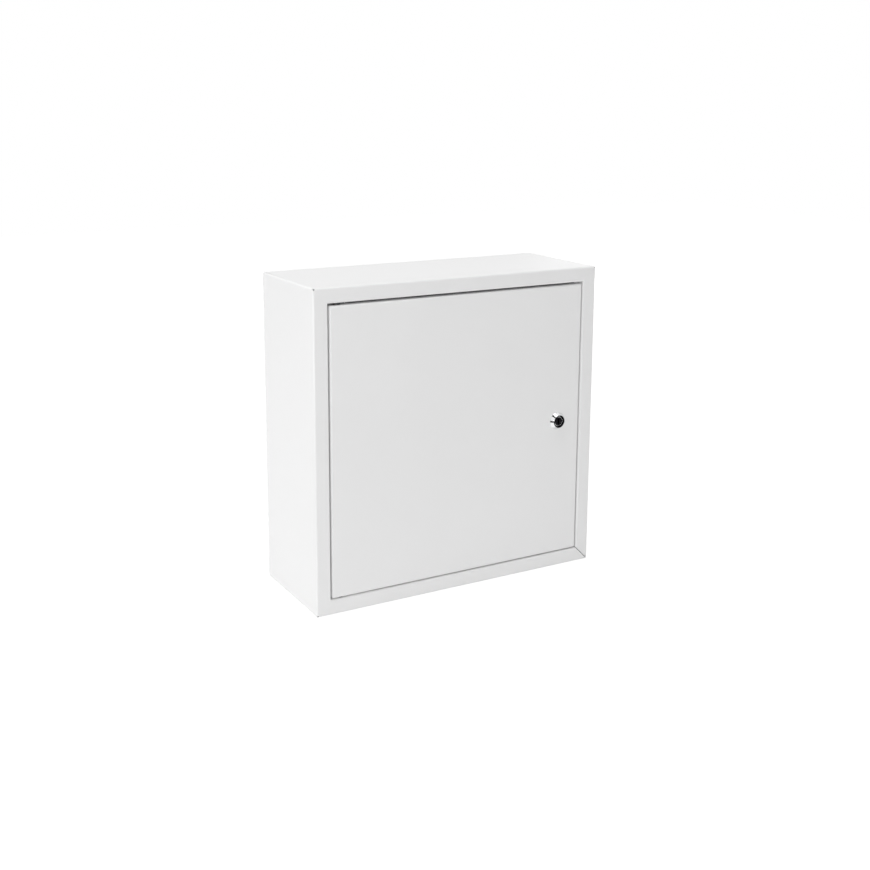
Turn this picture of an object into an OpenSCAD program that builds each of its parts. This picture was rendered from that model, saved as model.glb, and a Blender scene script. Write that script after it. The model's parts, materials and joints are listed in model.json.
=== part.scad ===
// Steel wall enclosure with a flush door, a cam lock and a mounting plate.
// +X is to the right, +Y points at the wall and +Z is up.
// The origin is the centre of the four wall fixings, on the back of the case.

/* [Case] */
// Width of the case
case_w = 400; // [300:10:600]
// Height of the case
case_h = 400; // [300:10:600]
// Depth of the case, without the lock
case_d = 150; // [140:5:300]
// Thickness of the case's sheet
case_sheet = 1.5; // [1:0.25:2]
// Outside radius of the case's bends
case_bend_r = 2.5; // [2.25:0.25:3.5]
// Width of the gap in the open mitre of the lip
seam_gap = 0.8; // [0.2:0.1:1.2]
// Diameter of the relief holes where the bends meet, at the folded corners
relief_d = 2; // [1:0.2:2.4]

/* [Door frame] */
// Width of the lip round the door
lip_w = 19; // [17:1:26]
// Width of the stop behind the door's edge
stop_w = 10; // [8:1:14]

/* [Back panel] */
// Depth of the back panel's folded edge
back_fold = 12; // [8:1:18]
// Distance from the case's sides to the wall fixings
fixing_inset = 30; // [24:1:45]
// Diameter of the wall fixing holes
fixing_d = 8; // [6:0.5:10]

/* [Door] */
// Gap between the door and the lip, at the sides
door_gap = 2; // [1.75:0.25:3]
// How far the door hangs below the middle of its opening
door_drop = 0.75; // [0:0.25:1]
// Thickness of the door's sheet
door_sheet = 1.5; // [1:0.25:2]
// Outside radius of the door's bends
door_bend_r = 2.5; // [2.25:0.25:3.25]
// Radius of the door's corners, seen from the front
door_corner_r = 1; // [0.5:0.25:3]
// Depth of the door's folded edge
door_fold = 12; // [11:0.5:16]
// Thickness of the foam seal behind the door's edge
seal_t = 1.7; // [1.2:0.1:3]

/* [Hinges] */
// Distance from the door's left edge to the hinge axis
pivot_in = 12; // [11.5:0.5:16]
// Distance from the door's face back to the hinge axis
pivot_back = 7.5; // [7:0.25:8]
// Diameter of the hinge pins
pin_d = 5; // [4:0.25:5.5]
// Thickness of the hinge brackets
bracket_t = 2.5; // [2:0.25:4]
// Length of the bush inside the door's edge
bush_len = 6; // [4:0.5:10]

/* [Lock] */
// Distance from the door's right edge to the lock's axis
lock_edge = 34; // [28:1:50]
// Height of the lock above the middle of the door
lock_rise = 0; // [-60:5:60]
// Diameter of the lock's head at the door
head_d = 23; // [21:0.5:26]
// Diameter of the lock's head at its front
head_front_d = 16.5; // [15:0.5:18]
// Height of the lock's head
head_h = 5; // [4:0.25:7]
// Diameter of the lock's barrel
barrel_d = 18; // [16.5:0.25:19]
// Distance between the flats on the barrel
barrel_flats = 16; // [14.5:0.25:16.25]
// Diameter of the plug that the key turns
plug_d = 11.4; // [10:0.2:12]
// Depth of the plug's face below the head's rim
plug_recess = 2; // [1:0.25:3]
// Width of the cam
cam_w = 14; // [12:0.5:18]
// Thickness of the cam
cam_t = 2.5; // [2:0.25:4]
// Length of cam that catches behind the stop
cam_catch = 8; // [6:0.5:10]

/* [Mounting plate] */
// Distance from the case's sides to the plate's edges
plate_margin = 30; // [26:1:50]
// Thickness of the plate
plate_t = 2; // [1.5:0.25:4]
// Distance from the back panel to the plate
plate_standoff = 12; // [8:1:25]
// Length cut off each side of the plate's corners, to reach the wall fixings
plate_clip = 25; // [20:1:28]
// Distance from the plate's edges to its fixing holes
plate_hole_inset = 20; // [18:1:40]
// Diameter of the plate's studs
plate_stud_d = 8; // [6:1:10]

/* [Cable entry] */
// Width of the opening in the bottom of the case
entry_w = 200; // [120:5:220]
// Depth of the opening in the bottom of the case
entry_d = 70; // [50:2:76]
// Border on which the cover of the opening lies
entry_border = 15; // [14:0.5:17]
// Thickness of the cover
entry_cover_t = 2; // [1.5:0.25:3]
// Thickness of the seal under the cover
entry_seal_t = 3; // [2:0.5:5]
// Diameter of the cover's studs
entry_stud_d = 5; // [4:0.5:6]

/* [Earth studs] */
// Diameter of the earth studs
earth_stud_d = 6; // [5:0.5:8]
// Distance from the case's outer edges to the earth stud on its left side
case_earth_inset = 60; // [50:5:80]
// Distance from the door's edges to its earth stud
door_earth_inset = 45; // [35:5:80]

/* [Hidden] */
$fn = 48;

// Clearances
thread_fit = 0.05;   // round a thread, a press fit or a running pin
slip_fit = 0.1;      // round a piece that drops into its cut-out
move_gap = 0.3;      // between faces that pass each other
cut = 1;             // how far a cutting tool reaches past the sheet

// Colours
white_paint = [0.93, 0.935, 0.94];
zinc = [0.72, 0.73, 0.74];
chrome = [0.8, 0.81, 0.83];
brass = [0.78, 0.66, 0.38];
nylon = [0.13, 0.13, 0.14];
foam = [0.12, 0.12, 0.13];

// Planes and edges of the case
front_y = -case_d;
wall_in_x = case_w / 2 - case_sheet;
wall_in_z = case_h / 2 - case_sheet;
mouth_x = case_w / 2 - lip_w;
mouth_z = case_h / 2 - lip_w;

// The stop lies behind the door's folded edge and the seal, all measured from the front
stop_front = door_fold + move_gap + seal_t;
stop_back = stop_front + case_sheet;
stop_in_x = mouth_x - stop_w;
stop_in_z = mouth_z - stop_w;
seal_inset = 1;

// Door
door_w = 2 * (mouth_x - door_gap);
door_h = 2 * (mouth_z - door_gap);
door_in_y = front_y + door_sheet;

// Hinges
pivot_x = -door_w / 2 + pivot_in;
pivot_y = front_y + pivot_back;
pin_r = pin_d / 2;
pin_head_r = pin_r + 2;
pin_head_h = 2;
bush_r = pivot_back - door_bend_r - 0.2;
bush_neck_r = pin_r + thread_fit + 1;
bracket_front = front_y + case_bend_r + slip_fit;
bracket_back = front_y + stop_back - 1;
bracket_reach = 12;

// The door's hinge edge swings inside this radius, so the stop begins past it
swing_r = norm([pivot_in, door_fold - pivot_back]);
stop_start_x = pivot_x + swing_r + 3 * move_gap;

// Lock
lock_x = door_w / 2 - lock_edge;
head_foot = 0.6;
rim_edge = 0.4;
rim_w = 1.2;
cam_front = stop_back + 0.5;
barrel_len = cam_front - move_gap;
plug_r = plug_d / 2;
key_slot = [2.2, 8];
key_depth = 12;
cam_square = 7;
cam_len = stop_in_x + cam_catch - lock_x;
cam_hub_r = cam_w / 2 + 2;
lock_washer_t = 1;
lock_nut_h = 5;
lock_nut_af = barrel_d + 6;
cam_screw_d = 4;
cam_screw_len = 8;
cam_washer_t = 1;

// Mounting plate
plate_w = case_w - 2 * plate_margin;
plate_h = case_h - 2 * plate_margin;
plate_back = -case_sheet - plate_standoff;
plate_front = plate_back - plate_t;
plate_hole_x = plate_w / 2 - plate_hole_inset;
plate_hole_z = plate_h / 2 - plate_hole_inset;

// Cable entry, in the middle of the floor between the back panel's edge and the stop
entry_y = (front_y + stop_back - back_fold) / 2;
floor_z = -wall_in_z;
cover_w = entry_w + 2 * entry_border;
cover_d = entry_d + 2 * entry_border;
entry_hole_x = (entry_w + entry_border) / 2;
entry_hole_y = (entry_d + entry_border) / 2;
cover_z = floor_z + entry_seal_t;
entry_points = [for (i = [-1, 0, 1], j = [-1, 1]) [i * entry_hole_x, entry_y + j * entry_hole_y]];

// Earth studs
case_earth_y = -case_earth_inset;
case_earth_z = -case_h / 2 + case_earth_inset;
door_earth_x = -door_w / 2 + door_earth_inset;
door_earth_z = -door_drop - door_h / 2 + door_earth_inset;

// Gap above the door (side 1) or below it (side -1)
function edge_gap(side) = door_gap + side * door_drop;

// Sizes of metric fasteners from the thread's diameter
function nut_af(d) = 1.5 * d + 1;
function nut_h(d) = 0.8 * d;
function washer_h(d) = 0.1 * d + 0.8;
function stud_end(d) = 0.4 * d;

// ---------- Shared shapes ----------

// Quarter of a bend in the sheet, in the corner between -X and -Y of its centre
module bend(r, t) {
    intersection() {
        difference() {
            circle(r);
            circle(r - t);
        }
        translate([-r, -r])
            square(r);
    }
}

// Rectangle with round corners, centred
module round_rect(w, h, r) {
    square([w - 2 * r, h], center = true);
    square([w, h - 2 * r], center = true);
    for (i = [-1, 1], j = [-1, 1])
        translate([i * (w / 2 - r), j * (h / 2 - r)])
            circle(r);
}

// Section of a pan, with its face on Y = 0 and its two bends at radius r
module pan_section(w, depth, r) {
    translate([-w / 2, r])
        square([w, depth - r]);
    translate([-w / 2 + r, 0])
        square([w - 2 * r, depth]);
    for (i = [-1, 1])
        translate([i * (w / 2 - r), r])
            circle(r);
}

// Solid block with the outside of a folded pan, its face towards -Y on Y = 0
module pan_block(w, h, depth, r, corner_r) {
    intersection() {
        linear_extrude(h, center = true)
            pan_section(w, depth, r);
        rotate([0, 90, 0])
            linear_extrude(w, center = true)
                pan_section(h, depth, r);
        rotate([-90, 0, 0])
            linear_extrude(depth)
                round_rect(w, h, corner_r);
    }
}

// Sheet folded back on all four edges
module folded_pan(w, h, depth, sheet, r, corner_r) {
    difference() {
        pan_block(w, h, depth, r, corner_r);
        translate([0, sheet, 0])
            pan_block(w - 2 * sheet, h - 2 * sheet, depth, r - sheet, max(corner_r - sheet, 0.2));
    }
}

// Ring along +Z from Z = 0
module ring(r_out, r_in, h) {
    difference() {
        cylinder(r = r_out, h = h);
        translate([0, 0, -cut])
            cylinder(r = r_in, h = h + 2 * cut);
    }
}

// Threaded stud along +Z from its weld at Z = 0, with a pointed end
module stud(d, len) {
    cylinder(d = d, h = len - stud_end(d) / 2);
    translate([0, 0, len - stud_end(d) / 2])
        cylinder(d1 = d, d2 = d - stud_end(d), h = stud_end(d) / 2);
}

module washer(d) {
    ring(d, d / 2 + slip_fit, washer_h(d));
}

// Hexagon nut with chamfered corners
module nut(d, af, h) {
    corner_r = af / sqrt(3);
    chamfer = (corner_r - af / 2) / 2;
    difference() {
        intersection() {
            cylinder(r = corner_r, h = h, $fn = 6);
            rotate_extrude()
                polygon([
                    [0, 0],
                    [corner_r - chamfer, 0],
                    [corner_r, chamfer],
                    [corner_r, h - chamfer],
                    [corner_r - chamfer, h],
                    [0, h]
                ]);
        }
        translate([0, 0, -cut])
            cylinder(d = d + 2 * thread_fit, h = h + 2 * cut);
    }
}

// Turns a shape that stands along +Z so that it points out of the door, towards -Y
module face_front() {
    rotate([90, 0, 0])
        children();
}

// ---------- Case ----------

// Section through one side of the case: wall, lip, return and, where there is one, the stop.
// X is measured inwards from the outside and Y back from the front.
module side_section(has_stop) {
    r = case_bend_r;
    t = case_sheet;
    translate([r, r])
        bend(r, t);
    translate([0, r])
        square([t, case_d - r]);
    translate([r, 0])
        square([lip_w - 2 * r, t]);
    translate([lip_w - r, r])
        mirror([1, 0])
            bend(r, t);
    translate([lip_w - t, r])
        square([t, stop_back - (has_stop ? 2 * r : r)]);
    if (has_stop) {
        translate([lip_w - t + r, stop_back - r])
            mirror([0, 1])
                bend(r, t);
        translate([lip_w - t + r, stop_front])
            square([stop_w + t - r, t]);
    }
}

// One side of the case with mitred ends, standing at -X
module mitred_side(reach, length, has_stop) {
    depth_in = lip_w + stop_w + cut;
    intersection() {
        translate([-reach, front_y, 0])
            linear_extrude(length, center = true)
                side_section(has_stop);
        face_front()
            linear_extrude(case_d)
                polygon([
                    [-reach, -length / 2],
                    [-reach, length / 2],
                    [-reach + depth_in, length / 2 - depth_in],
                    [-reach + depth_in, -length / 2 + depth_in]
                ]);
    }
}

// The strip that forms the left, top, right and bottom, closed at the bottom right corner
module body_wrap() {
    notch_w = stop_start_x + mouth_x;
    mitre_len = sqrt(2) * (lip_w + stop_w - case_bend_r);
    relief_inset = case_bend_r / 2;
    relief_depth = case_sheet + 1;
    relief_x = case_w / 2 - relief_inset;
    relief_z = case_h / 2 - relief_inset;
    color(white_paint)
    difference() {
        intersection() {
            union() {
                mitred_side(case_w / 2, case_h, false);
                rotate([0, 90, 0])
                    mitred_side(case_h / 2, case_w, true);
                rotate([0, 180, 0])
                    mitred_side(case_w / 2, case_h, true);
                rotate([0, 270, 0])
                    mitred_side(case_h / 2, case_w, true);
            }
            face_front()
                linear_extrude(case_d)
                    round_rect(case_w, case_h, case_bend_r);
        }
        // Room for the door's hinge edge at both ends of the stop
        for (k = [-1, 1])
            translate([-mouth_x, front_y + stop_back - case_bend_r, k > 0 ? stop_in_z - cut : -mouth_z])
                cube([notch_w, case_bend_r + cut, stop_w + cut]);
        // Relief holes where the bends meet, at the three folded corners
        for (corner = [[-1, -1], [-1, 1], [1, 1]])
            translate([corner[0] * relief_x, front_y + relief_depth, corner[1] * relief_z])
                face_front()
                    cylinder(d = relief_d, h = relief_depth + cut);
        // Open mitre
        translate([case_w / 2 - case_bend_r, front_y - cut, -case_h / 2 + case_bend_r])
            rotate([0, 45, 0])
                translate([-mitre_len, 0, -seam_gap / 2])
                    cube([mitre_len, stop_back + 2 * cut, seam_gap]);
        for (k = [-1, 1])
            translate([pivot_x, pivot_y, k * (mouth_z + case_sheet / 2)])
                cylinder(r = pin_r + thread_fit, h = case_sheet + 2 * cut, center = true);
        translate([0, entry_y, floor_z])
            cube([entry_w, entry_d, 3 * case_sheet], center = true);
    }
}

module back_panel() {
    color(white_paint)
    difference() {
        mirror([0, 1, 0])
            folded_pan(2 * wall_in_x, 2 * wall_in_z, back_fold, case_sheet, case_bend_r, 2 * case_bend_r);
        for (i = [-1, 1], k = [-1, 1])
            translate([i * (case_w / 2 - fixing_inset), cut, k * (case_h / 2 - fixing_inset)])
                face_front()
                    cylinder(d = fixing_d, h = case_sheet + 2 * cut);
    }
}

// Foam on the front of the stop, along the top, the lock side and the bottom
module door_seal() {
    color(foam)
    translate([0, front_y + stop_front, 0])
        face_front()
            linear_extrude(seal_t)
                difference() {
                    square(2 * [mouth_x - seal_inset, mouth_z - seal_inset], center = true);
                    square(2 * [stop_in_x + seal_inset, stop_in_z + seal_inset], center = true);
                    translate([-case_w / 2, -case_h / 2])
                        square([case_w / 2 + stop_start_x + seal_inset, case_h]);
                }
}

// ---------- Hinges: side is 1 at the top of the door and -1 at the bottom ----------

// Puts a shape drawn on the hinge axis, at the top return's underside, at either end
module at_hinge(side) {
    mirror([0, 0, side > 0 ? 0 : 1])
        translate([pivot_x, pivot_y, mouth_z])
            children();
}

// Angle welded to the return and to the left wall
module hinge_bracket(side) {
    bend_out = bracket_t + 1;
    left = -wall_in_x - pivot_x;
    leg_top = lip_w - 2 * case_sheet - case_bend_r;
    color(zinc)
    at_hinge(side)
        difference() {
            translate([0, bracket_back - pivot_y, case_sheet])
                face_front()
                    linear_extrude(bracket_back - bracket_front) {
                        translate([left + bend_out, bend_out])
                            bend(bend_out, bracket_t);
                        translate([left + bend_out, 0])
                            square([bracket_reach - left - bend_out, bracket_t]);
                        translate([left, bend_out])
                            square([bracket_t, leg_top - bend_out]);
                    }
            cylinder(r = pin_r + thread_fit, h = case_sheet + bracket_t + cut);
        }
}

module hinge_pin(side) {
    top = case_sheet + bracket_t;
    tip = edge_gap(side) + door_sheet + bush_len + 1;
    color(zinc)
    at_hinge(side) {
        translate([0, 0, top])
            cylinder(r = pin_head_r, h = pin_head_h);
        translate([0, 0, -tip + pin_r / 2])
            cylinder(r = pin_r, h = top + tip - pin_r / 2);
        translate([0, 0, -tip])
            cylinder(r1 = pin_r / 2, r2 = pin_r, h = pin_r / 2);
    }
}

module hinge_washer(side) {
    washer_t = edge_gap(side) - 0.2;
    color(nylon)
    at_hinge(side)
        translate([0, 0, -washer_t])
            ring(pin_head_r, pin_r + slip_fit, washer_t);
}

// Bush pressed into the door's edge from inside
module hinge_bush(side) {
    door_top = -edge_gap(side);
    door_under = door_top - door_sheet;
    color(brass)
    at_hinge(side)
        difference() {
            union() {
                translate([0, 0, door_under])
                    cylinder(r = bush_neck_r, h = door_sheet);
                translate([0, 0, door_under - bush_len])
                    cylinder(r = bush_r, h = bush_len);
            }
            translate([0, 0, door_under - bush_len - cut])
                cylinder(r = pin_r + thread_fit, h = bush_len + door_sheet + 2 * cut);
        }
}

// ---------- Door ----------

// Outline of the lock's barrel, or of the hole for it with some clearance
module barrel_outline(clearance) {
    intersection() {
        circle(d = barrel_d + 2 * clearance);
        square([barrel_flats + 2 * clearance, barrel_d + 2], center = true);
    }
}

// Puts a shape drawn on the lock's axis, at the door's face, in its place
module at_lock() {
    translate([lock_x, front_y, lock_rise])
        face_front()
            children();
}

module door_panel() {
    color(white_paint)
    difference() {
        translate([0, front_y, -door_drop])
            folded_pan(door_w, door_h, door_fold, door_sheet, door_bend_r, door_corner_r);
        at_lock()
            translate([0, 0, -door_sheet - cut])
                linear_extrude(door_sheet + 2 * cut)
                    barrel_outline(slip_fit);
        for (side = [-1, 1])
            at_hinge(side)
                translate([0, 0, -edge_gap(side) - door_sheet - cut])
                    cylinder(r = bush_neck_r + thread_fit, h = door_sheet + 2 * cut);
    }
}

// ---------- Lock ----------

// Head, a cone with a sunk middle, and the flattened barrel behind it
module lock_body() {
    foot_r = head_d / 2;
    rim_r = head_front_d / 2;
    bore_r = plug_r + thread_fit;
    bowl_z = head_h - plug_recess;
    color(chrome)
    at_lock()
        difference() {
            union() {
                rotate_extrude()
                    polygon([
                        [0, 0],
                        [foot_r, 0],
                        [foot_r, head_foot],
                        [rim_r + rim_edge / 2, head_h - rim_edge],
                        [rim_r - rim_edge, head_h],
                        [rim_r - rim_w, head_h],
                        [bore_r, bowl_z],
                        [0, bowl_z]
                    ]);
                translate([0, 0, -barrel_len])
                    linear_extrude(barrel_len)
                        barrel_outline(0);
            }
            translate([0, 0, -barrel_len - cut])
                cylinder(r = bore_r, h = barrel_len + head_h + cut);
        }
}

module lock_washer() {
    color(zinc)
    at_lock()
        translate([0, 0, -door_sheet - lock_washer_t])
            ring(lock_nut_af / 2, barrel_d / 2 + slip_fit, lock_washer_t);
}

module lock_nut() {
    color(zinc)
    at_lock()
        translate([0, 0, -door_sheet - lock_washer_t - lock_nut_h])
            nut(barrel_d, lock_nut_af, lock_nut_h);
}

// Plug with its keyway, and the square behind it that drives the cam
module lock_plug() {
    face_z = head_h - plug_recess;
    seat_z = -cam_front;
    color(chrome)
    at_lock()
        difference() {
            union() {
                translate([0, 0, seat_z])
                    cylinder(r = plug_r, h = face_z - rim_edge - seat_z);
                translate([0, 0, face_z - rim_edge])
                    cylinder(r1 = plug_r, r2 = plug_r - rim_edge, h = rim_edge);
                translate([0, 0, seat_z - cam_t / 2])
                    cube([cam_square, cam_square, cam_t], center = true);
            }
            translate([0, 0, face_z])
                cube([key_slot[0], key_slot[1], 2 * key_depth], center = true);
            translate([0, 0, seat_z - cam_t - cut])
                cylinder(d = cam_screw_d + 2 * thread_fit, h = cam_screw_len + cut);
        }
}

// Flat cam that points up when the lock is open
module lock_cam() {
    tip_r = cam_w / 2;
    color(zinc)
    at_lock()
        translate([0, 0, -cam_front - cam_t])
            linear_extrude(cam_t)
                difference() {
                    union() {
                        circle(cam_hub_r);
                        translate([-tip_r, 0])
                            square([cam_w, cam_len - tip_r]);
                        translate([0, cam_len - tip_r])
                            circle(tip_r);
                    }
                    square(cam_square + 2 * slip_fit, center = true);
                }
}

module cam_washer() {
    color(zinc)
    at_lock()
        translate([0, 0, -cam_front - cam_t - cam_washer_t])
            ring(cam_square, cam_screw_d / 2 + slip_fit, cam_washer_t);
}

// Screw with a round head and a cross recess
module cam_screw() {
    head_r = cam_screw_d;
    head_z = -cam_front - cam_t - cam_washer_t;
    recess = [1, cam_screw_d];
    color(zinc)
    at_lock()
        difference() {
            union() {
                translate([0, 0, head_z])
                    cylinder(d = cam_screw_d, h = cam_screw_len);
                translate([0, 0, head_z - head_r / 2])
                    cylinder(r1 = 0.7 * head_r, r2 = head_r, h = head_r / 2);
            }
            for (turn = [0, 90])
                translate([0, 0, head_z - head_r / 2])
                    rotate(turn)
                        cube([recess[0], recess[1], head_r / 2], center = true);
        }
}

// ---------- Mounting plate ----------

// Puts a shape that stands along +Z on each stud, pointing forward from y
module at_plate_studs(y) {
    for (i = [-1, 1], k = [-1, 1])
        translate([i * plate_hole_x, y, k * plate_hole_z])
            face_front()
                children();
}

module plate_studs() {
    stack = plate_standoff + plate_t + washer_h(plate_stud_d) + nut_h(plate_stud_d);
    color(zinc)
    at_plate_studs(-case_sheet)
        stud(plate_stud_d, stack + stud_end(plate_stud_d));
}

module plate_spacers() {
    color(zinc)
    at_plate_studs(-case_sheet)
        ring(plate_stud_d, plate_stud_d / 2 + slip_fit, plate_standoff);
}

module mounting_plate() {
    x = plate_w / 2;
    z = plate_h / 2;
    c = plate_clip;
    color(zinc)
    difference() {
        translate([0, plate_back, 0])
            face_front()
                linear_extrude(plate_t)
                    polygon([
                        [-x + c, -z], [x - c, -z], [x, -z + c], [x, z - c],
                        [x - c, z], [-x + c, z], [-x, z - c], [-x, -z + c]
                    ]);
        at_plate_studs(plate_back + cut)
            cylinder(d = plate_stud_d + 1, h = plate_t + 2 * cut);
    }
}

module plate_washers() {
    color(zinc)
    at_plate_studs(plate_front)
        washer(plate_stud_d);
}

module plate_nuts() {
    color(zinc)
    at_plate_studs(plate_front - washer_h(plate_stud_d))
        nut(plate_stud_d, nut_af(plate_stud_d), nut_h(plate_stud_d));
}

// ---------- Cable entry ----------

// Puts a shape that stands along +Z on each of the cover's studs, from height z
module at_entry_studs(z) {
    for (p = entry_points)
        translate([p[0], p[1], z])
            children();
}

module entry_seal() {
    color(foam)
    difference() {
        translate([-cover_w / 2, entry_y - cover_d / 2, floor_z])
            cube([cover_w, cover_d, entry_seal_t]);
        translate([-entry_w / 2, entry_y - entry_d / 2, floor_z - cut])
            cube([entry_w, entry_d, entry_seal_t + 2 * cut]);
        at_entry_studs(floor_z - cut)
            cylinder(d = entry_stud_d + 2 * slip_fit, h = entry_seal_t + 2 * cut);
    }
}

module entry_cover() {
    color(white_paint)
    difference() {
        translate([-cover_w / 2, entry_y - cover_d / 2, cover_z])
            cube([cover_w, cover_d, entry_cover_t]);
        at_entry_studs(cover_z - cut)
            cylinder(d = entry_stud_d + 0.5, h = entry_cover_t + 2 * cut);
    }
}

module entry_studs() {
    stack = entry_seal_t + entry_cover_t + washer_h(entry_stud_d) + nut_h(entry_stud_d);
    color(zinc)
    at_entry_studs(floor_z)
        stud(entry_stud_d, stack + stud_end(entry_stud_d));
}

module entry_washers() {
    color(zinc)
    at_entry_studs(cover_z + entry_cover_t)
        washer(entry_stud_d);
}

module entry_nuts() {
    color(zinc)
    at_entry_studs(cover_z + entry_cover_t + washer_h(entry_stud_d))
        nut(entry_stud_d, nut_af(entry_stud_d), nut_h(entry_stud_d));
}

// ---------- Earth studs ----------

// Puts a shape that stands along +Z on the left wall, pointing inwards
module at_case_earth() {
    translate([-wall_in_x, case_earth_y, case_earth_z])
        rotate([0, 90, 0])
            children();
}

// Puts a shape that stands along +Z on the back of the door, pointing inwards
module at_door_earth() {
    translate([door_earth_x, door_in_y, door_earth_z])
        rotate([-90, 0, 0])
            children();
}

earth_stack = washer_h(earth_stud_d) + nut_h(earth_stud_d);

module case_earth_stud() {
    color(brass)
    at_case_earth()
        stud(earth_stud_d, earth_stack + stud_end(earth_stud_d));
}

module case_earth_washer() {
    color(zinc)
    at_case_earth()
        washer(earth_stud_d);
}

module case_earth_nut() {
    color(zinc)
    at_case_earth()
        translate([0, 0, washer_h(earth_stud_d)])
            nut(earth_stud_d, nut_af(earth_stud_d), nut_h(earth_stud_d));
}

module door_earth_stud() {
    color(brass)
    at_door_earth()
        stud(earth_stud_d, earth_stack + stud_end(earth_stud_d));
}

module door_earth_washer() {
    color(zinc)
    at_door_earth()
        washer(earth_stud_d);
}

module door_earth_nut() {
    color(zinc)
    at_door_earth()
        translate([0, 0, washer_h(earth_stud_d)])
            nut(earth_stud_d, nut_af(earth_stud_d), nut_h(earth_stud_d));
}

body_wrap();
back_panel();
door_seal();
hinge_bracket(1);  // hinge_bracket_top
hinge_bracket(-1);  // hinge_bracket_bottom
hinge_pin(1);  // hinge_pin_top
hinge_pin(-1);  // hinge_pin_bottom
hinge_washer(1);  // hinge_washer_top
hinge_washer(-1);  // hinge_washer_bottom
plate_studs();
plate_spacers();
mounting_plate();
plate_washers();
plate_nuts();
entry_seal();
entry_cover();
entry_studs();
entry_washers();
entry_nuts();
case_earth_stud();
case_earth_washer();
case_earth_nut();
door_panel();
hinge_bush(1);  // hinge_bush_top
hinge_bush(-1);  // hinge_bush_bottom
door_earth_stud();
door_earth_washer();
door_earth_nut();
lock_body();
lock_washer();
lock_nut();
lock_plug();
lock_cam();
cam_washer();
cam_screw();
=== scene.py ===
import json
import math

import bmesh
import bpy
from bpy.props import FloatProperty, FloatVectorProperty, IntProperty, PointerProperty
from mathutils import Matrix, Vector

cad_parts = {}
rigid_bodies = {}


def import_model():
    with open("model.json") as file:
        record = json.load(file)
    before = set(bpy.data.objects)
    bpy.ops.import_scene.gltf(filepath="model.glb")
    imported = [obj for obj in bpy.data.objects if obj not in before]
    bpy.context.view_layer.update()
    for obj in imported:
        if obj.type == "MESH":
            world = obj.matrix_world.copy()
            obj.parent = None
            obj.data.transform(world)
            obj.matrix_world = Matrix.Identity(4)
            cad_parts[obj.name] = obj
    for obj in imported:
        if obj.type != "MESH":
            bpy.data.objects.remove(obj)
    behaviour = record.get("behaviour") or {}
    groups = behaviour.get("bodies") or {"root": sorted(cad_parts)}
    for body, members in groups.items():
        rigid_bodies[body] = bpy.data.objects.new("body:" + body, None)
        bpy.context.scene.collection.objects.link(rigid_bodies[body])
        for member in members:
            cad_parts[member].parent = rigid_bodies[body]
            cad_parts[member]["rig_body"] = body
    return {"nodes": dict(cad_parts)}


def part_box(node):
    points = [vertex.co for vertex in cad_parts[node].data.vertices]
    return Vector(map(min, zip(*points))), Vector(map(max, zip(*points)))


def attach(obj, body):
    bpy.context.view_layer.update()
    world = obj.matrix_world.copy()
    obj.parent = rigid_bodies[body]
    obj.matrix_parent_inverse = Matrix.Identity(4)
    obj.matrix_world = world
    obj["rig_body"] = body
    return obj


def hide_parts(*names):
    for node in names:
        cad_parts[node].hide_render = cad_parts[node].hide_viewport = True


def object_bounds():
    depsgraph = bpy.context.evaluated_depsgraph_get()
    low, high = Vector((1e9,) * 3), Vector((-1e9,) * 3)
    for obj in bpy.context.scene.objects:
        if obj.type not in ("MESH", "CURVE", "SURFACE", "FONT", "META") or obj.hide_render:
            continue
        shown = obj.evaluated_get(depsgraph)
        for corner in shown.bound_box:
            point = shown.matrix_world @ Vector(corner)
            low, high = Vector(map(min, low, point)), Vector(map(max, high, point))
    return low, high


bl_info = {
    "name": "Wall enclosure dressing",
    "version": (1, 0, 0),
    "blender": (4, 5, 0),
    "location": "View3D > Sidebar > Enclosure",
    "description": "Paint, plating, threads, seals and a studio for a folded steel wall enclosure",
    "category": "Object",
}

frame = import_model()
CAD_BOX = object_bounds()
MM = 0.001


def linear(code):
    """An sRGB hex colour as linear red, green and blue."""
    parts = [int(code[i:i + 2], 16) / 255 for i in (1, 3, 5)]
    return tuple(c / 12.92 if c <= 0.04045 else ((c + 0.055) / 1.055) ** 2.4 for c in parts)


# ---------- Sizes and colours that a user may change ----------

def colour(name, code, description):
    return FloatVectorProperty(
        name=name, description=description, default=linear(code), subtype="COLOR", size=3, min=0, max=1)


def length(name, mm, description, low=0.0):
    return FloatProperty(
        name=name, description=description, default=mm * MM, min=low * MM, unit="LENGTH", precision=5)


def angle(name, degrees, description):
    return FloatProperty(
        name=name, description=description, default=math.radians(degrees), subtype="ANGLE", unit="ROTATION")


def watts(name, power, place):
    return FloatProperty(name=name, description="Power of the lamp " + place + ", in watts", default=power, min=0)


class EnclosureColours(bpy.types.PropertyGroup):
    paint: colour("Paint", "#F0F0F0", "Powder coat on the case, the door and the cable cover")
    galvanised: colour("Galvanised sheet", "#B4B8BA", "Mounting plate")
    zinc: colour("Zinc plating", "#BFC4C9", "Studs, nuts, washers and brackets")
    chrome: colour("Chrome plating", "#E9EAEB", "Head of the lock")
    # Dark grey painted inside the relief holes: painted shade in the holes
    bare: colour("Bare steel", "#77787A", "Inside of the relief holes, which the powder hardly reaches")
    # Near black for the lock's face and plug: a painted dark reflection in place of chrome's
    painted_dark_reflection: colour("Black plating", "#17171A", "Face and plug of the lock")
    brass: colour("Brass", "#C8A860", "Hinge bushes and earth studs")
    nylon: colour("Nylon", "#202124", "Hinge washers")
    foam: colour("Foam", "#26272A", "Seals of the door and of the cable cover")
    floor: colour("Floor", "#F2F2F2", "Floor under the enclosure")


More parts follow.
